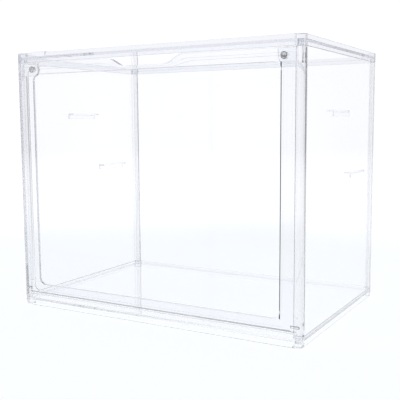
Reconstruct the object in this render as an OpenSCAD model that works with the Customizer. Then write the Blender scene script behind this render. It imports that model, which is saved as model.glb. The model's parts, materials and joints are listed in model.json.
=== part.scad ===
// Clear drop-front display case.
// Two moulded trays (base and top cover) are joined by two side panels with
// corner posts and square pegs. A back panel slides in grooves of the rear
// posts. The front door turns on two short pins at its lower corners and is
// held shut by disc magnets at its upper corners.
// Frame: millimetres, X to the right, Y to the back, Z up. The origin is the
// middle of the footprint, on the surface that the case stands on.

/* [Overall] */
// Outside width
case_w = 360; // [320:5:420]
// Outside depth
case_d = 240; // [220:5:300]
// Height to the rim of the top cover, without the stacking lugs
case_h = 300; // [270:5:360]
// Radius of the four upright outer corners
corner_r = 6; // [5:0.5:6.5]

/* [Trays] */
// Height of the rim of the base and of the top cover
rim_h = 11; // [10.5:0.25:12]
// Wall thickness of the rims
rim_t = 3; // [2.5:0.25:3]
// Thickness of the floor and roof plates
plate_t = 3; // [2.5:0.25:3]
// Height of the floor's upper face above the ground
floor_z = 9; // [8.5:0.25:9.5]
// Height of the inset plinth line around the base
plinth_h = 3.3; // [2.5:0.1:4]
// Inset of the plinth
plinth_in = 0.7; // [0.4:0.1:1]
// Extra height of the base's front rail, under the door
rail_h = 3.4; // [3:0.1:3.6]
// Distance from the top of the rim down to the roof plate
roof_drop = 4.25; // [4:0.25:5.5]
// Height of the stacking lugs above the rim of the top cover
lug_h = 1.5; // [1:0.25:2]
// Length of the stacking lugs
lug_l = 21; // [16:1:30]

/* [Side panels] */
// Thickness of the side and back panels
panel_t = 3; // [2.5:0.25:3]
// Width of the corner posts across the front
post_w = 8; // [8:0.25:8.5]
// Depth of the corner posts along the side
post_d = 10; // [10:0.25:11]
// Width of the square pegs at both ends of each post
peg_w = 6.4; // [5.8:0.1:6.6]
// Length of the pegs
peg_l = 6.2; // [5.5:0.1:6.5]
// Overlap of the post's lip behind the door's edge
lip_w = 2.5; // [2:0.25:3]

/* [Door] */
// Thickness of the door's frame
door_t = 7; // [6.5:0.25:7]
// Thickness of the door's clear pane
pane_t = 3; // [2.5:0.25:3]
// Width of the outer band of the stepped frame
band_a = 3; // [3:0.25:4]
// Width from the door's edge to the second step
band_b = 9; // [8:0.5:10]
// Width from the door's edge to the pane, at the sides
band_c = 16; // [15:0.5:17]
// Depth of the first step
drop_a = 0.8; // [0.5:0.1:1]
// Depth of the first and second steps together
drop_b = 1.6; // [1.4:0.1:2.2]
// Radius of the pane's corners
pane_r = 8; // [6:0.5:9]
// Width of the finger notch at the top edge
notch_w = 94; // [80:2:120]
// Depth of the finger notch
notch_h = 9; // [7:0.5:9]
// Radius of the rounded lower edges of the door
foot_r = 1.6; // [1.2:0.1:2]
// Height of the hinge axis above the ground
hinge_z = 20.5; // [20.3:0.1:21]
// Distance of the hinge axis behind the front of the case
hinge_in = 3; // [2.8:0.1:3.4]

/* [Hardware] */
// Diameter of the disc magnets
magnet_d = 7; // [6:0.5:8]
// Thickness of the door's magnets
magnet_t = 3.75; // [2:0.25:3.75]
// Thickness of the magnets in the frame
strike_t = 2; // [1.5:0.25:2]
// Distance of the magnets from the outer sides
magnet_in = 21.5; // [20:0.5:22]
// Distance of the magnets below the top of the rim
magnet_drop = 19; // [18:0.5:20]
// Diameter of the hinge pins
pin_d = 3; // [2.6:0.1:3]
// Length of the hinge pins
pin_l = 8; // [7:0.25:8]

/* [Shelf ledges] */
// Length of each ledge
ledge_l = 52; // [40:1:60]
// How far a ledge stands out from the side panel
ledge_w = 8.5; // [6:0.5:12]
// Height of the ledge's upright flange
ledge_h = 7; // [5:0.5:10]
// Thickness of both flanges
ledge_t = 2; // [1.5:0.25:2.5]
// Height of the upper ledges' bearing face
upper_z = 231; // [200:1:240]
// Distance from the front of the case to the upper ledges
upper_y = 88; // [60:1:90]
// Height of the lower ledges' bearing face
lower_z = 162; // [120:1:180]
// Distance from the front of the case to the lower ledges
lower_y = 149; // [130:1:150]

/* [Fits] */
// Air left between pieces that rest on each other
gap = 0.1; // [0.05:0.05:0.15]
// Side clearance of the door between the posts
door_gap = 0.5; // [0.4:0.1:0.8]
// Gap between the door and the rims above and below it
edge_gap = 0.6; // [0.5:0.1:0.8]
// Radial clearance of the hinge pins in the posts
pin_clear = 0.05; // [0.03:0.01:0.08]

/* [Hidden] */
$fn = 48;

hw = case_w / 2;
hd = case_d / 2;
front = -hd;                              // front plane of the case
side_lo = rim_h + gap;                    // lower edge of the side panels
side_hi = case_h - rim_h - gap;           // upper edge of the side panels
rail_top = rim_h + rail_h;                // top of the base's front rail
roof_hi = case_h - roof_drop;             // upper face of the roof plate
roof_lo = roof_hi - plate_t;              // lower face of the roof plate
block = post_w + 2.5;                     // size of the corner blocks
sock = peg_w + 2 * gap;                   // width of a peg socket
peg_in = 1.6;                             // peg face behind the outer faces
peg_c = peg_in + peg_w / 2;               // peg centre from the outer faces

door_hx = hw - post_w - door_gap;         // half width of the door
door_lo = rail_top + edge_gap;            // lower edge of the door
door_hi = case_h - rim_h - edge_gap;      // upper edge of the door
door_f = front + 0.3;                     // front face of the door's frame
door_b = door_f + door_t;                 // back face of the door
pane_f = door_b - pane_t;                 // front face of the pane
hinge_y = front + hinge_in;               // hinge axis
top_a = 5;                                // first step, at the door's top
top_b = 7.7;                              // second step, at the door's top
top_c = 13.2;                             // pane edge, at the door's top
low_a = 2.4;                              // first step, at the door's foot
low_b = 4.6;                              // second step, at the door's foot
low_c = 11.8;                             // pane edge, at the door's foot
tab_f = door_b + 0.5;                     // front face of the magnet tabs
tab_t = 3;                                // thickness of the magnet tabs
mag_x = hw - magnet_in;
mag_z = case_h - magnet_drop;

back_b = hd - rim_t - 0.15;               // back face of the back panel
back_f = back_b - panel_t;                // front face of the back panel
groove = 3;                               // depth of the grooves in the posts
seat = 1;                                 // depth of the back panel's rebate in the floor

clear = [0.88, 0.92, 0.97, 0.35];

// ---- outlines -------------------------------------------------------------

// Rectangle with rounded corners
module rounded(x0, y0, x1, y1, r) {
    translate([x0 + r, y0]) square([x1 - x0 - 2 * r, y1 - y0]);
    translate([x0, y0 + r]) square([x1 - x0, y1 - y0 - 2 * r]);
    for (x = [x0 + r, x1 - r], y = [y0 + r, y1 - r]) translate([x, y]) circle(r);
}

// Footprint of the case, drawn in by a distance
module footprint(inset = 0) {
    rounded(-hw + inset, -hd + inset, hw - inset, hd - inset,
            max(corner_r - inset, 1));
}

// Smooth step from 0 to 1
function blend(t) = t * t * (3 - 2 * t);

// Depth of a bath-shaped dip of width w and depth h at x
function dip(x, w, h) =
    let (a = abs(x), e = w / 2, f = w * 0.27)
    a >= e ? 0 : a <= f ? h : h * blend((e - a) / (e - f));

// Upright outline whose upper edge dips in the middle
module dipped(x, z0, z1, w, h) {
    n = 28;
    polygon(concat([[-x, z0], [x, z0], [x, z1]],
        [for (i = [0 : n]) let (px = w / 2 - w * i / n) [px, z1 - dip(px, w, h)]],
        [[-x, z1]]));
}

// Slab standing upright, from y0 back to y1, over an outline in X and Z
module upright(y0, y1) {
    translate([0, y1, 0]) rotate([90, 0, 0]) linear_extrude(y1 - y0) children();
}

// Box between two corners
module box(a, b) { translate(a) cube(b - a); }

// ---- trays ----------------------------------------------------------------

// Square corner blocks, z0 to z1, kept inside the footprint
module corner_blocks(z0, z1) {
    intersection() {
        translate([0, 0, z0]) linear_extrude(z1 - z0) footprint();
        for (sx = [-1, 1], sy = [-1, 1])
            translate([sx * (hw - block / 2), sy * (hd - block / 2), (z0 + z1) / 2])
                cube([block, block, z1 - z0], center = true);
    }
}

// Square peg or socket with rounded edges at each of the four corners
module corner_pegs(w, z0, z1, r, sides = [-1, 1]) {
    for (sx = sides, sy = [-1, 1])
        translate([sx * (hw - peg_c), sy * (hd - peg_c), z0])
            linear_extrude(z1 - z0) rounded(-w / 2, -w / 2, w / 2, w / 2, r);
}

// Rim wall around the footprint
module rim(z0, z1, inset = 0) {
    translate([0, 0, z0]) linear_extrude(z1 - z0) difference() {
        footprint(inset);
        footprint(rim_t);
    }
}

module base_tray() {
    color(clear) difference() {
        union() {
            rim(0, plinth_h, plinth_in);
            rim(plinth_h, rim_h);
            // floor plate, with a rebate along the back for the back panel
            translate([0, 0, floor_z - plate_t]) linear_extrude(plate_t - seat) footprint(1);
            translate([0, 0, floor_z - plate_t]) linear_extrude(plate_t) intersection() {
                footprint(1);
                translate([-hw, -hd]) square([case_w, hd + back_f - gap]);
            }
            corner_blocks(plinth_h, rim_h);
            // feet under the corner blocks, in line with the plinth
            intersection() {
                linear_extrude(plinth_h) footprint(plinth_in);
                for (sx = [-1, 1], sy = [-1, 1])
                    translate([sx * (hw - block / 2), sy * (hd - block / 2), plinth_h / 2])
                        cube([block, block, plinth_h], center = true);
            }
            // raised rail under the door
            box([-door_hx, front, rim_h - 1], [door_hx, front + rim_t, rail_top]);
        }
        corner_pegs(sock, rim_h - peg_l - gap, rim_h + 1, 2.1);
    }
}

module top_cover() {
    color(clear) difference() {
        union() {
            rim(case_h - rim_h, case_h);
            translate([0, 0, roof_lo]) linear_extrude(plate_t) footprint(1);
            corner_blocks(case_h - rim_h, case_h);
            // two stacking lugs on opposite corners, standing inside the rim
            for (s = [-1, 1]) rotate([0, 0, s < 0 ? 0 : 180]) {
                box([-hw + 22, -hd + rim_t - 1, roof_hi - 1],
                    [-hw + 22 + lug_l, -hd + rim_t + 3.2, case_h]);
                box([-hw + 22, -hd + rim_t + 0.2, roof_hi - 1],
                    [-hw + 22 + lug_l, -hd + rim_t + 3.2, case_h + lug_h]);
            }
        }
        corner_pegs(sock, case_h - rim_h - 1, case_h - rim_h + peg_l + gap, 2.1);
    }
}

// ---- side panels ----------------------------------------------------------

// Right-hand side panel: sheet, two posts, pegs, door lip and magnet tab
module side_solid() {
    difference() {
        union() {
            // sheet and posts
            translate([0, 0, side_lo]) linear_extrude(side_hi - side_lo)
                intersection() {
                    footprint();
                    union() {
                        translate([hw - panel_t, -hd]) square([panel_t, case_d]);
                        translate([hw - post_w, -hd]) square([post_w, post_d]);
                        translate([hw - post_w, hd - post_d]) square([post_w, post_d]);
                    }
                }
            corner_pegs(peg_w, side_lo - peg_l, side_lo + 1, 2, [1]);
            corner_pegs(peg_w, side_hi - 1, side_hi + peg_l, 2, [1]);
            // lip behind the door's edge
            box([hw - post_w - lip_w, tab_f, hinge_z + 9],
                [hw - post_w + 1, front + post_d, side_hi]);
            // tab that carries the frame's magnet
            upright(tab_f, tab_f + tab_t) {
                translate([mag_x - 7.5, mag_z]) square([hw - post_w - mag_x + 8.5, side_hi - mag_z]);
                translate([mag_x, mag_z - 7.5]) square([hw - post_w - mag_x + 1, 8]);
                translate([mag_x, mag_z]) circle(7.5);
            }
        }
        // groove for the back panel
        box([hw - post_w - 1, back_f - gap, side_lo - 1],
            [hw - post_w + groove, back_b + gap, side_hi + 1]);
        // pocket for the frame's magnet
        translate([mag_x, tab_f - 1, mag_z]) rotate([-90, 0, 0])
            cylinder(d = magnet_d + gap, h = strike_t + 1);
        // hinge bore
        translate([hw - post_w - 1, hinge_y, hinge_z]) rotate([0, 90, 0])
            cylinder(r = pin_d / 2 + pin_clear, h = 1 + pin_l / 2 - door_gap / 2 + 0.2);
    }
}

module right_side_panel() { color(clear) side_solid(); }
module left_side_panel() { color(clear) mirror([1, 0, 0]) side_solid(); }

// ---- back -----------------------------------------------------------------

module back_panel() {
    color(clear) {
        box([-(hw - block - 0.3), back_f, floor_z - seat + gap],
            [hw - block - 0.3, back_b, roof_lo - gap]);
        box([-(hw - post_w + groove - 0.2), back_f, side_lo + 0.2],
            [hw - post_w + groove - 0.2, back_b, side_hi - 0.2]);
    }
}

// ---- door -----------------------------------------------------------------

module front_door() {
    color(clear) difference() {
        union() {
            // slab with the notch
            upright(door_f, door_b) dipped(door_hx, hinge_z, door_hi, notch_w, notch_h);
            // foot, with rounded edges that clear the rail as the door turns
            translate([-door_hx, 0, 0]) rotate([90, 0, 90]) linear_extrude(2 * door_hx)
                rounded(door_f, door_lo, door_b, hinge_z + 2 * foot_r, foot_r);
        }
        // first step, which runs around the notch
        upright(door_f - 1, door_f + drop_a)
            dipped(door_hx - band_a, door_lo + low_a, door_hi - top_a, notch_w + 16, notch_h - 2.9);
        // second step, which runs around the notch too
        upright(door_f - 1, door_f + drop_b) intersection() {
            rounded(-door_hx + band_b, door_lo + low_b, door_hx - band_b,
                    door_hi - top_b, 5);
            dipped(door_hx, door_lo, door_hi - top_b, notch_w + 30, notch_h - 4.5);
        }
        // pane
        upright(door_f - 1, pane_f)
            rounded(-door_hx + band_c, door_lo + low_c, door_hx - band_c,
                    door_hi - top_c, pane_r);
        // magnet pockets, open at the back
        for (s = [-1, 1])
            translate([s * mag_x, door_b + 1, mag_z]) rotate([90, 0, 0])
                cylinder(d = magnet_d + gap, h = magnet_t + 1 + gap / 2);
        // holes for the hinge pins
        for (s = [-1, 1])
            translate([s * (door_hx + 1), hinge_y, hinge_z]) rotate([0, -s * 90, 0])
                cylinder(d = pin_d, h = 1 + pin_l / 2 - door_gap / 2 + 0.2);
    }
}

// ---- hardware -------------------------------------------------------------

// Disc with broken edges, its axis along Y, its front at y0
module disc(d, t, y0) {
    c = 0.3;
    translate([0, y0, mag_z]) rotate([-90, 0, 0])
        rotate_extrude() polygon([[0, 0], [d / 2 - c, 0], [d / 2, c], [d / 2, t - c],
                                  [d / 2 - c, t], [0, t]]);
}

module left_door_magnet() { color("silver") translate([-mag_x, 0, 0]) disc(magnet_d, magnet_t, door_b - magnet_t); }
module right_door_magnet() { color("silver") translate([mag_x, 0, 0]) disc(magnet_d, magnet_t, door_b - magnet_t); }
module left_frame_magnet() { color("silver") translate([-mag_x, 0, 0]) disc(magnet_d, strike_t - gap, tab_f); }
module right_frame_magnet() { color("silver") translate([mag_x, 0, 0]) disc(magnet_d, strike_t - gap, tab_f); }

// Hinge pin with chamfered ends, half in the door and half in the post
module hinge_pin(s) {
    c = 0.4;
    translate([s * (door_hx + door_gap / 2), hinge_y, hinge_z]) rotate([0, 90, 0])
        rotate_extrude() polygon([[0, -pin_l / 2], [pin_d / 2 - c, -pin_l / 2],
            [pin_d / 2, -pin_l / 2 + c], [pin_d / 2, pin_l / 2 - c],
            [pin_d / 2 - c, pin_l / 2], [0, pin_l / 2]]);
}

module left_hinge_pin() { color(clear) hinge_pin(-1); }
module right_hinge_pin() { color(clear) hinge_pin(1); }

// ---- shelf ledges ---------------------------------------------------------

// Angle bonded to the side panel: bearing flange on top, upright flange below
module ledge(s, y, z) {
    x = hw - panel_t - gap;
    r = 1;
    mirror([s < 0 ? 1 : 0, 0, 0])
    translate([0, front + y + ledge_l, 0]) rotate([90, 0, 0]) linear_extrude(ledge_l)
        difference() {
            union() {
                translate([x - ledge_w, z - ledge_t]) square([ledge_w, ledge_t]);
                translate([x - ledge_t, z - ledge_h]) square([ledge_t, ledge_h]);
                // fillet in the corner
                translate([x - ledge_t - r, z - ledge_t - r]) square([r + 0.1, r + 0.1]);
            }
            translate([x - ledge_t - r, z - ledge_t - r]) circle(r);
        }
}

module left_upper_ledge() { color(clear) ledge(-1, upper_y, upper_z); }
module left_lower_ledge() { color(clear) ledge(-1, lower_y, lower_z); }
module right_upper_ledge() { color(clear) ledge(1, upper_y, upper_z); }
module right_lower_ledge() { color(clear) ledge(1, lower_y, lower_z); }

base_tray();
top_cover();
left_side_panel();
right_side_panel();
back_panel();
front_door();
left_door_magnet();
right_door_magnet();
left_frame_magnet();
right_frame_magnet();
left_hinge_pin();
right_hinge_pin();
left_upper_ledge();
left_lower_ledge();
right_upper_ledge();
right_lower_ledge();
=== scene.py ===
"""Looks of a clear acrylic drop-front display case, around its packed construction.

Metres, X to the right along the front, Y to the back, Z up, origin in the middle of
the footprint on the ground.
"""

import json
import math

import bmesh
import bpy
from mathutils import Matrix, Vector

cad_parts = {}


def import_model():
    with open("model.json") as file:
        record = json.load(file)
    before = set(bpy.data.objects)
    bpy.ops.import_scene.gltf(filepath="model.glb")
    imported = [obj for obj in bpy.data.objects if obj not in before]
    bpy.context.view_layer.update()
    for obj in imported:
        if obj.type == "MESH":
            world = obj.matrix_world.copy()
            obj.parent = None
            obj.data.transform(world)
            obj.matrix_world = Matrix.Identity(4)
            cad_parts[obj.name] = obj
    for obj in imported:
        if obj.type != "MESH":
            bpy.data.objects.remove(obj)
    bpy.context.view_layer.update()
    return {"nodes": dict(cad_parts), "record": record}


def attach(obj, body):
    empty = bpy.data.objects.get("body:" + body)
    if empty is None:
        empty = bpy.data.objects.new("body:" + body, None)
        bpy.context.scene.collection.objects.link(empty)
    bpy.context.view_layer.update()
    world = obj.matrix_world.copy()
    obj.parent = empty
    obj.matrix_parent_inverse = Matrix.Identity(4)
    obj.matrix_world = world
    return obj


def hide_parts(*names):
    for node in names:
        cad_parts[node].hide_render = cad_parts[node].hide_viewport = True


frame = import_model()

MM = 0.001
CLEAR_NODES = [
    "base_tray",
    "top_cover",
    "left_side_panel",
    "right_side_panel",
    "back_panel",
    "front_door",
    "left_upper_ledge",
    "left_lower_ledge",
    "right_upper_ledge",
    "right_lower_ledge",
    "left_hinge_pin",
    "right_hinge_pin",
]
MAGNETS = ["left_door_magnet", "right_door_magnet", "left_frame_magnet", "right_frame_magnet"]
LEDGES = [n for n in CLEAR_NODES if n.endswith("_ledge")]
PINS = ["left_hinge_pin", "right_hinge_pin"]
PANE_X, PANE_LOW, PANE_HIGH = 0.1555, 0.0268, 0.2752  # the door's thin pane
PANE_ROUND = 1.0 * MM  # rounding of the recess that it lies in
# The dark line is painted shade, in a near-black material.
DARK_X = PANE_X + 1.2 * MM  # end of the dark line on its right
PIN_Y, PIN_Z = -0.117, 0.0205  # the axis that the door turns about
# brightness of the studio by direction, in degrees from the back towards the right
ROOM = [
    (-180, 0.28), (-167, 0.55), (-154, 1.0), (-144, 1.0), (-134, 0.65), (-122, 0.26), (-105, 0.28),
    (-90, 0.48), (-75, 0.74), (-60, 0.98), (-45, 1.05), (-15, 1.05), (15, 0.95), (75, 1.0),
    (95, 1.0), (110, 0.8), (120, 0.55), (132, 0.22), (142, 0.18), (155, 0.34), (168, 0.3), (180, 0.28),
]


# ---- node helpers -----------------------------------------------------------


def new_material(name):
    m = bpy.data.materials.new(name)
    m.use_nodes = True
    nt = m.node_tree
    nt.nodes.clear()
    out = nt.nodes.new("ShaderNodeOutputMaterial")
    bsdf = nt.nodes.new("ShaderNodeBsdfPrincipled")
    nt.links.new(bsdf.outputs["BSDF"], out.inputs["Surface"])
    return m, nt, bsdf, out


def node(nt, kind, links=(), **values):
    """A node of that kind. values are settings or input values; links are (input name, socket)."""
    n = nt.nodes.new(kind)
    for k, v in values.items():
        if k in n.bl_rna.properties:
            setattr(n, k, v)
        else:
            n.inputs[k.replace("_", " ")].default_value = v
    for name, socket in links:
        nt.links.new(socket, n.inputs[name])
    return n


def ramp(nt, socket, low, high, at=(0.3, 0.7)):
    """Colour ramp from low to high between two positions."""
    n = nt.nodes.new("ShaderNodeValToRGB")
    n.color_ramp.elements[0].position, n.color_ramp.elements[1].position = at
    n.color_ramp.elements[0].color = (*low, 1)
    n.color_ramp.elements[1].color = (*high, 1)
    nt.links.new(socket, n.inputs["Fac"])
    return n.outputs["Color"]


def remap(nt, socket, low, high, start=0.0, end=1.0):
    n = nt.nodes.new("ShaderNodeMapRange")
    n.inputs["From Min"].default_value, n.inputs["From Max"].default_value = start, end
    n.inputs["To Min"].default_value, n.inputs["To Max"].default_value = low, high
    nt.links.new(socket, n.inputs["Value"])
    return n.outputs["Result"]


def smooth(nt, socket, low, high, start, end):
    """Smooth step from low to high as the value goes from start to end."""
    n = nt.nodes.new("ShaderNodeMapRange")
    n.interpolation_type = "SMOOTHSTEP"
    n.inputs["From Min"].default_value, n.inputs["From Max"].default_value = start, end
    n.inputs["To Min"].default_value, n.inputs["To Max"].default_value = low, high
    nt.links.new(socket, n.inputs["Value"])
    return n.outputs["Result"]


# ---- materials --------------------------------------------------------------


def sheet_area(nt, co, spans):
    """1 on the thin sheet of a moulding and 0 on its frame. spans: (axis, low, high) in metres, about 0 where low is None."""
    axes = node(nt, "ShaderNodeSeparateXYZ", [("Vector", co)]).outputs
    area = None
    for axis, low, high in spans:
        value = axes["XYZ".index(axis)]
        if low is None:
            value = node(nt, "ShaderNodeMath", [(0, value)], operation="ABSOLUTE").outputs["Value"]
            steps = [smooth(nt, value, 1.0, 0.0, high - 0.4 * MM, high + 0.4 * MM)]
        else:
            steps = [
                smooth(nt, value, 0.0, 1.0, low - 0.4 * MM, low + 0.4 * MM),
                smooth(nt, value, 1.0, 0.0, high - 0.4 * MM, high + 0.4 * MM),
            ]
        for s in steps:
            area = s if area is None else node(nt, "ShaderNodeMath", [(0, area), (1, s)], operation="MULTIPLY").outputs["Value"]
    return area


def clear_acrylic(name, frame_cast_and_shade, sheet_cast_and_shade=None, spans=(), rough=(0.0, 0.045), density=2.0):
    """Moulded clear acrylic: slight flow waviness, faint haze marks, a grey-blue cast where the section is thick, and
    on some pieces painted shade in the frame or sheet colour.
    """
    m, nt, bsdf, out = new_material(name)
    co = node(nt, "ShaderNodeTexCoord").outputs["Object"]
    wave = node(nt, "ShaderNodeTexNoise", [("Vector", co)], Scale=9.0, Detail=2.0, Roughness=0.4)
    haze = node(nt, "ShaderNodeTexNoise", [("Vector", co)], Scale=60.0, Detail=5.0, Roughness=0.6)
    bump = node(nt, "ShaderNodeBump", [("Height", wave.outputs["Fac"])], Strength=0.05, Distance=0.0006)

    def cast(tint):
        return ramp(nt, wave.outputs["Fac"], tint, [min(1.0, c + 0.012) for c in tint])

    tint = cast(frame_cast_and_shade)
    if sheet_cast_and_shade is not None:
        both = node(nt, "ShaderNodeMix", data_type="RGBA")
        nt.links.new(sheet_area(nt, co, spans), both.inputs[0])
        nt.links.new(tint, both.inputs[6])
        nt.links.new(cast(sheet_cast_and_shade), both.inputs[7])
        tint = both.outputs[2]
    nt.links.new(tint, bsdf.inputs["Base Color"])
    nt.links.new(remap(nt, haze.outputs["Fac"], *rough, 0.35, 0.75), bsdf.inputs["Roughness"])
    nt.links.new(bump.outputs["Normal"], bsdf.inputs["Normal"])
    bsdf.inputs["Transmission Weight"].default_value = 1.0
    bsdf.inputs["IOR"].default_value = 1.49
    inside = node(nt, "ShaderNodeVolumeAbsorption", Density=density)
    inside.inputs["Color"].default_value = (0.60, 0.61, 0.67, 1)
    nt.links.new(inside.outputs["Volume"], out.inputs["Volume"])
    return m


def nickel():
    """Plated magnet: worn, blotchy plating, with painted shade darkening the outer ring of its face."""
    m, nt, bsdf, out = new_material("nickel_plate")
    co = node(nt, "ShaderNodeTexCoord").outputs["Object"]
    x, y, z = node(nt, "ShaderNodeSeparateXYZ", [("Vector", co)]).outputs
    x = node(nt, "ShaderNodeMath", [(0, x)], operation="ABSOLUTE").outputs["Value"]
    dx = node(nt, "ShaderNodeMath", [(0, x)], operation="SUBTRACT")
    dx.inputs[1].default_value = 0.1585
    dz = node(nt, "ShaderNodeMath", [(0, z)], operation="SUBTRACT")
    dz.inputs[1].default_value = 0.281
    flat = node(nt, "ShaderNodeCombineXYZ", [("X", dx.outputs["Value"]), ("Z", dz.outputs["Value"])])
    radius = node(nt, "ShaderNodeVectorMath", [("Vector", flat.outputs["Vector"])], operation="LENGTH").outputs["Value"]
    patch = node(nt, "ShaderNodeTexNoise", [("Vector", co)], Scale=520.0, Detail=3.0, Roughness=0.55)
    grain = node(nt, "ShaderNodeTexNoise", [("Vector", co)], Scale=3000.0, Detail=2.0)
    plate = ramp(nt, patch.outputs["Fac"], (0.22, 0.22, 0.23), (1.0, 0.99, 1.0), (0.36, 0.50))
    # Painted shade: a dark ring on the outer edge of the magnet face, around the lighter middle.
    painted_rim_shade = node(nt, "ShaderNodeMix", data_type="RGBA")
    nt.links.new(smooth(nt, radius, 0.0, 1.0, 2.7 * MM, 3.1 * MM), painted_rim_shade.inputs[0])
    nt.links.new(plate, painted_rim_shade.inputs[6])
    nt.links.new(ramp(nt, grain.outputs["Fac"], (0.10, 0.10, 0.11), (0.30, 0.30, 0.31)), painted_rim_shade.inputs[7])
    nt.links.new(painted_rim_shade.outputs[2], bsdf.inputs["Base Color"])
    nt.links.new(remap(nt, patch.outputs["Fac"], 0.75, 0.45, 0.3, 0.7), bsdf.inputs["Roughness"])
    bump = node(nt, "ShaderNodeBump", [("Height", patch.outputs["Fac"])], Strength=0.35, Distance=0.0002)
    nt.links.new(bump.outputs["Normal"], bsdf.inputs["Normal"])
    bsdf.inputs["Metallic"].default_value = 1.0
    return m


def painted_shade_edge():
    """Painted shade, almost black, along one side of the pane: it stands in for the dark line of shade at the edge of
    the pane's recess.
    """
    m, nt, bsdf, out = new_material("painted_shade_edge")
    co = node(nt, "ShaderNodeTexCoord").outputs["Object"]
    grain = node(nt, "ShaderNodeTexNoise", [("Vector", co)], Scale=900.0, Detail=4.0)
    nt.links.new(ramp(nt, grain.outputs["Fac"], (0.010, 0.011, 0.013), (0.035, 0.037, 0.042)), bsdf.inputs["Base Color"])
    nt.links.new(remap(nt, grain.outputs["Fac"], 0.45, 0.7), bsdf.inputs["Roughness"])
    return m


PANE_TINT = (0.978, 0.982, 0.992)
SHEET = clear_acrylic("clear_acrylic_sheet", PANE_TINT)
DOOR = clear_acrylic(
    "clear_acrylic_door", (0.94, 0.945, 0.96), PANE_TINT, [("X", None, PANE_X), ("Z", PANE_LOW, PANE_HIGH)]
)
# Painted shade: the side panels' posts get a greyer colour than the thick-section cast, standing in for the grey strips
# of shade in the posts.
SIDES = clear_acrylic("clear_acrylic_sides", (0.895, 0.90, 0.912), PANE_TINT, [("Y", None, 0.110)])
# Painted shade: the base's thin floor sheet is darker than its frame, so that the floor seen through it looks shaded;
# the frame keeps a light cast.
BASE = clear_acrylic("clear_acrylic_base", (0.975, 0.98, 0.985), (0.94, 0.945, 0.965), [("X", None, 0.177), ("Y", None, 0.117)], density=0.6)
# Painted shade: the top cover's darker lavender-grey rim and greyer sheet stand in for the shading across the lid, over
# the thick-section cast.
TOP = clear_acrylic("clear_acrylic_top", (0.845, 0.85, 0.88), (0.96, 0.963, 0.98), [("X", None, 0.177), ("Y", None, 0.117)], density=1.3)
# Near-black painted shade for the dark line along the pane's right edge.
PAINTED_SHADE = painted_shade_edge()
NICKEL = nickel()
# material and wanted edge rounding in mm of each clear node
FINISH = {
    "base_tray": (BASE, 0.45), "top_cover": (TOP, 0.45), "left_side_panel": (SIDES, 0.25), "right_side_panel": (SIDES, 0.25),
    "back_panel": (SHEET, 0.45), "front_door": (DOOR, 0.45),
    **{n: (SHEET, 0.45) for n in LEDGES}, **{n: (SHEET, 0.12) for n in PINS},
}


# ---- pieces -----------------------------------------------------------------


def corner_normals(bm, kind):
    """Shading normals per face corner: planes stay flat, tessellated curves and rounded edges run smoothly into them."""
    flat, facet, edge = 1, 2, 0
    near = math.cos(math.radians(24))
    wide = math.cos(math.radians(62))

    def curve_normal(f, v):
        total = Vector()
        for g in v.link_faces:
            if f.normal.dot(g.normal) < near:
                continue
            if g[kind] == flat:
                return g.normal.copy()
            if g[kind] == facet:
                total += g.normal
        return total.normalized() if total.length > 1e-9 else f.normal.copy()

    made = []
    for f in bm.faces:
        for loop in f.loops:
            v = loop.vert
            if f[kind] == flat:
                made.append(f.normal.copy())
            elif f[kind] == facet:
                made.append(curve_normal(f, v))
            else:
                best, found = wide, None
                for g in v.link_faces:
                    c = f.normal.dot(g.normal)
                    if g[kind] != edge and c > best:
                        best, found = c, g
                if found is not None:
                    made.append(found.normal.copy() if found[kind] == flat else curve_normal(found, v))
                else:
                    total = Vector()
                    for g in v.link_faces:
                        if g[kind] == edge and f.normal.dot(g.normal) > wide:
                            total += g.normal * g.calc_area()
                    made.append(total.normalized() if total.length > 1e-12 else f.normal.copy())
    return made


def room_for(edge, wanted):
    """The edge's rounding: the wanted one, or less where one of its two faces is narrow there."""
    along = (edge.verts[1].co - edge.verts[0].co).normalized()
    width = wanted
    for v in edge.verts:
        for other in v.link_edges:
            shared = [f for f in other.link_faces if f in edge.link_faces]
            if other is edge or not shared or len(other.link_faces) == 2 and other.calc_face_angle() < math.radians(5):
                continue
            far = other.other_vert(v)
            way = far.co - v.co
            across = 1 - min(1.0, abs(way.normalized().dot(along))) ** 2 if way.length > 1e-9 else 0
            # the face is shared with the rounding of its other side, if that side gets one
            facing = [e for e in far.link_edges if e is not other and shared[0] in e.link_faces and e.is_convex]
            if across > 0.2:
                width = min(width, (0.4 if facing else 0.8) * way.length * math.sqrt(across))
    return max(width, 0.06 * MM)


def on_pane_outline(edge):
    """Whether the edge is part of the front outline of the recess in which the door's pane lies."""
    return all(
        abs(v.co.y + 0.1181) < 0.05 * MM and abs(v.co.x) < PANE_X + 0.05 * MM
        and PANE_LOW - 0.05 * MM < v.co.z < PANE_HIGH + 0.05 * MM for v in edge.verts
    )


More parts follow.
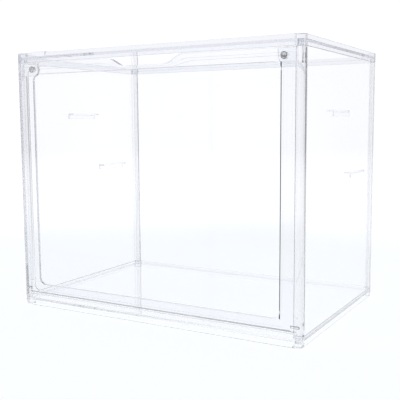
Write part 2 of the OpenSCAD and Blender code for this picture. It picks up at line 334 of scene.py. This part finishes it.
def mark_painted_shade_line(bm):
    """Give the near-black painted shade to the right edge of the pane's recess and to a narrow strip of the frame
    beside it, where a dark line of shade runs.
    """
    for point, way in [
        ((PANE_X, 0, 0), (1, 0, 0)), ((DARK_X, 0, 0), (1, 0, 0)), ((0, 0, PANE_LOW), (0, 0, 1)), ((0, 0, PANE_HIGH), (0, 0, 1))
    ]:
        faces = [f for f in bm.faces if f.normal.y < -0.999 and abs(f.calc_center_median().y + 0.1181) < 0.01 * MM
                 and max(v.co.x for v in f.verts) > PANE_X - 9 * MM]
        geom = {*faces, *(e for f in faces for e in f.edges), *(v for f in faces for v in f.verts)}
        bmesh.ops.bisect_plane(bm, geom=list(geom), dist=0.005 * MM, plane_co=point, plane_no=way)
    bm.normal_update()
    for f in bm.faces:
        c = f.calc_center_median()
        if PANE_LOW < c.z < PANE_HIGH and c.y < -0.1155:
            straight = abs(2 * c.z - PANE_LOW - PANE_HIGH) < 0.2
            edge = straight and 0.1543 < c.x < PANE_X + PANE_ROUND and f.normal.x < -0.2
            strip = PANE_X < c.x < DARK_X and f.normal.y < -0.999
            f.material_index = int(edge or strip)


def rounded_mesh(o, bm, width, segments):
    """The mesh with its weighted edges rounded. The new faces have material index 1."""
    sharp = bpy.data.meshes.new("sharp")
    bm.to_mesh(sharp)
    o.data = sharp
    mod = o.modifiers.new("rounding", "BEVEL")
    mod.limit_method, mod.offset_type, mod.width, mod.segments = "WEIGHT", "OFFSET", width, segments
    mod.use_clamp_overlap, mod.loop_slide, mod.material = False, False, 1
    mod.miter_outer, mod.spread = "MITER_ARC", 0.1 * MM
    for _ in range(2):
        sharp.materials.append(None)
    me = bpy.data.meshes.new_from_object(o.evaluated_get(bpy.context.evaluated_depsgraph_get()))
    o.modifiers.clear()
    o.data = me
    bpy.data.meshes.remove(sharp)
    return me


def soft_edged(node_name, material, wanted, segments=3):
    """A moulding with the node's shape and rounded edges, which stands for the node."""
    src = frame["nodes"][node_name]
    bm = bmesh.new()
    bm.from_mesh(src.data)
    bmesh.ops.remove_doubles(bm, verts=bm.verts, dist=0.03 * MM)
    bmesh.ops.dissolve_limit(bm, angle_limit=math.radians(0.2), verts=bm.verts, edges=bm.edges)
    bmesh.ops.connect_verts_concave(bm, faces=bm.faces)
    bm.normal_update()
    kind = bm.faces.layers.int.new("kind")
    weight = bm.edges.layers.float.new("bevel_weight_edge")
    for f in bm.faces:
        curved = [e for e in f.edges if len(e.link_faces) == 2 and 0.005 < e.calc_face_angle(9) < 0.42]
        narrow = curved and f.calc_area() / max(e.calc_length() for e in curved) < 1.6 * MM
        f[kind] = 2 if len(curved) >= 2 and narrow else 1
        f.material_index = 0
    pane = node_name == "front_door"
    widest = PANE_ROUND if pane else wanted
    for e in bm.edges:
        if len(e.link_faces) == 2 and e.is_convex and e.calc_face_angle() > math.radians(28):
            e[weight] = room_for(e, widest if pane and on_pane_outline(e) else wanted) / widest
    o = bpy.data.objects.new(node_name + "_moulding", bpy.data.meshes.new("empty"))
    bpy.context.scene.collection.objects.link(o)
    me = rounded_mesh(o, bm, widest, segments)
    bm.free()
    me.name = node_name + "_moulding"

    bm = bmesh.new()
    bm.from_mesh(me)
    bm.normal_update()
    kind = bm.faces.layers.int["kind"]
    if node_name in PINS:  # a hair thinner than the bore, so that the two faces don't fall together
        for v in bm.verts:
            v.co.y = PIN_Y + (v.co.y - PIN_Y) * 0.97
            v.co.z = PIN_Z + (v.co.z - PIN_Z) * 0.97
    for f in bm.faces:
        if f.material_index == 1:
            f[kind] = 0
            f.material_index = 0
    if pane:
        mark_painted_shade_line(bm)
    normals = corner_normals(bm, kind)
    bm.to_mesh(me)
    bm.free()
    me.polygons.foreach_set("use_smooth", [True] * len(me.polygons))
    me.normals_split_custom_set(normals)
    me.materials[0] = material
    if pane:
        me.materials[1] = PAINTED_SHADE
    else:
        me.materials.pop(index=1)
    body = next(k for k, v in frame["record"]["behaviour"]["bodies"].items() if node_name in v)
    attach(o, body)
    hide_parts(node_name)
    return o


for n in CLEAR_NODES:
    soft_edged(n, FINISH[n][0], FINISH[n][1] * MM)
for n in MAGNETS:
    frame["nodes"][n].material_slots[0].material = NICKEL


# ---- stage ------------------------------------------------------------------


def room_level(nt, x, y):
    """How bright the studio is towards a horizontal direction: white sweep behind, a soft light at the front left."""
    turn = node(nt, "ShaderNodeMath", [(0, x), (1, y)], operation="ARCTAN2").outputs["Value"]
    share = remap(nt, turn, 0.0, 1.0, -math.pi, math.pi)
    ramp_node = nt.nodes.new("ShaderNodeValToRGB")
    ramp_node.color_ramp.interpolation = "EASE"
    points = ramp_node.color_ramp.elements
    while len(points) < len(ROOM):
        points.new(0.5)
    for p, (degrees, level) in zip(points, ROOM):
        p.position = (degrees + 180) / 360
        p.color = (level, level, level, 1)
    nt.links.new(share, ramp_node.inputs["Fac"])
    return node(nt, "ShaderNodeRGBToBW", [("Color", ramp_node.outputs["Color"])]).outputs["Val"]


def floor():
    """Large pale sweep, lit evenly; far from the case it runs into the room's level, so that no horizon shows."""
    me = bpy.data.meshes.new("floor")
    s = 40.0
    me.from_pydata([(-s, -s, 0), (s, -s, 0), (s, s, 0), (-s, s, 0)], [], [(0, 1, 2, 3)])
    o = bpy.data.objects.new("floor", me)
    o.location.z = -0.0002
    bpy.context.scene.collection.objects.link(o)
    m, nt, bsdf, out = new_material("pale_floor")
    where = node(nt, "ShaderNodeNewGeometry").outputs["Position"]
    x, y, z = node(nt, "ShaderNodeSeparateXYZ", [("Vector", where)]).outputs
    away = node(nt, "ShaderNodeVectorMath", [("Vector", where)], operation="LENGTH").outputs["Value"]
    room = room_level(nt, x, y)
    pale = remap(nt, room, 0.48, 1.1)
    far = smooth(nt, away, 0.0, 1.0, 1.2, 5.0)
    around = node(nt, "ShaderNodeMix", [("Factor", far), ("A", pale), ("B", room)])
    mix = smooth(nt, away, 0.0, 1.0, 0.42, 0.85)
    level = node(nt, "ShaderNodeMix", [("Factor", mix), ("B", around.outputs["Result"])])
    level.inputs["A"].default_value = 0.902
    nt.links.new(level.outputs["Result"], bsdf.inputs["Emission Strength"])
    shade = node(nt, "ShaderNodeMix", data_type="RGBA")
    nt.links.new(mix, shade.inputs[0])
    shade.inputs[6].default_value, shade.inputs[7].default_value = (0.975, 1.0, 1.02, 1), (1.0, 1.005, 1.03, 1)
    nt.links.new(shade.outputs[2], bsdf.inputs["Emission Color"])
    nt.links.new(ramp(nt, mix, (0.3, 0.3, 0.3), (0.0, 0.0, 0.0), (0.0, 1.0)), bsdf.inputs["Base Color"])
    bsdf.inputs["Roughness"].default_value = 0.8
    bsdf.inputs["Specular IOR Level"].default_value = 0.0
    me.materials.append(m)


def world():
    w = bpy.data.worlds.new("studio")
    bpy.context.scene.world = w
    w.use_nodes = True
    nt = w.node_tree
    nt.nodes.clear()
    out = nt.nodes.new("ShaderNodeOutputWorld")
    bg = nt.nodes.new("ShaderNodeBackground")
    nt.links.new(bg.outputs["Background"], out.inputs["Surface"])
    way = node(nt, "ShaderNodeTexCoord").outputs["Generated"]
    x, y, z = node(nt, "ShaderNodeSeparateXYZ", [("Vector", way)]).outputs
    over = smooth(nt, z, 1.0, 0.17, 0.30, 0.80)
    both = node(nt, "ShaderNodeMath", [(0, room_level(nt, x, y)), (1, over)], operation="MULTIPLY")
    nt.links.new(both.outputs["Value"], bg.inputs["Strength"])
    bg.inputs["Color"].default_value = (1.0, 1.005, 1.03, 1)


def camera():
    yaw, pitch, roll = math.radians(-29.88), math.radians(6.57), math.radians(-0.39)
    f = Vector((math.sin(yaw) * math.cos(pitch), math.cos(yaw) * math.cos(pitch), -math.sin(pitch)))
    r = Vector((math.cos(yaw), -math.sin(yaw), 0))
    d = f.cross(r)
    x = math.cos(roll) * r - math.sin(roll) * d
    y = math.sin(roll) * r + math.cos(roll) * d
    cam = bpy.data.cameras.new("camera")
    cam.sensor_width = 36.0
    cam.lens = 61.58
    cam.clip_start, cam.clip_end = 0.02, 60.0
    o = bpy.data.objects.new("camera", cam)
    bpy.context.scene.collection.objects.link(o)
    rot = Matrix((x, -y, -f)).transposed()
    o.matrix_world = Matrix.Translation((0.4143, -0.7219, 0.2200)) @ rot.to_4x4()
    bpy.context.scene.camera = o


floor()
world()
camera()

sc = bpy.context.scene
sc.view_settings.view_transform = "Standard"
sc.view_settings.look = "None"
sc.cycles.max_bounces = 256
sc.cycles.transmission_bounces = 256
sc.cycles.glossy_bounces = 256
sc.cycles.diffuse_bounces = 3
sc.cycles.blur_glossy = 0.0
sc.cycles.use_denoising = True
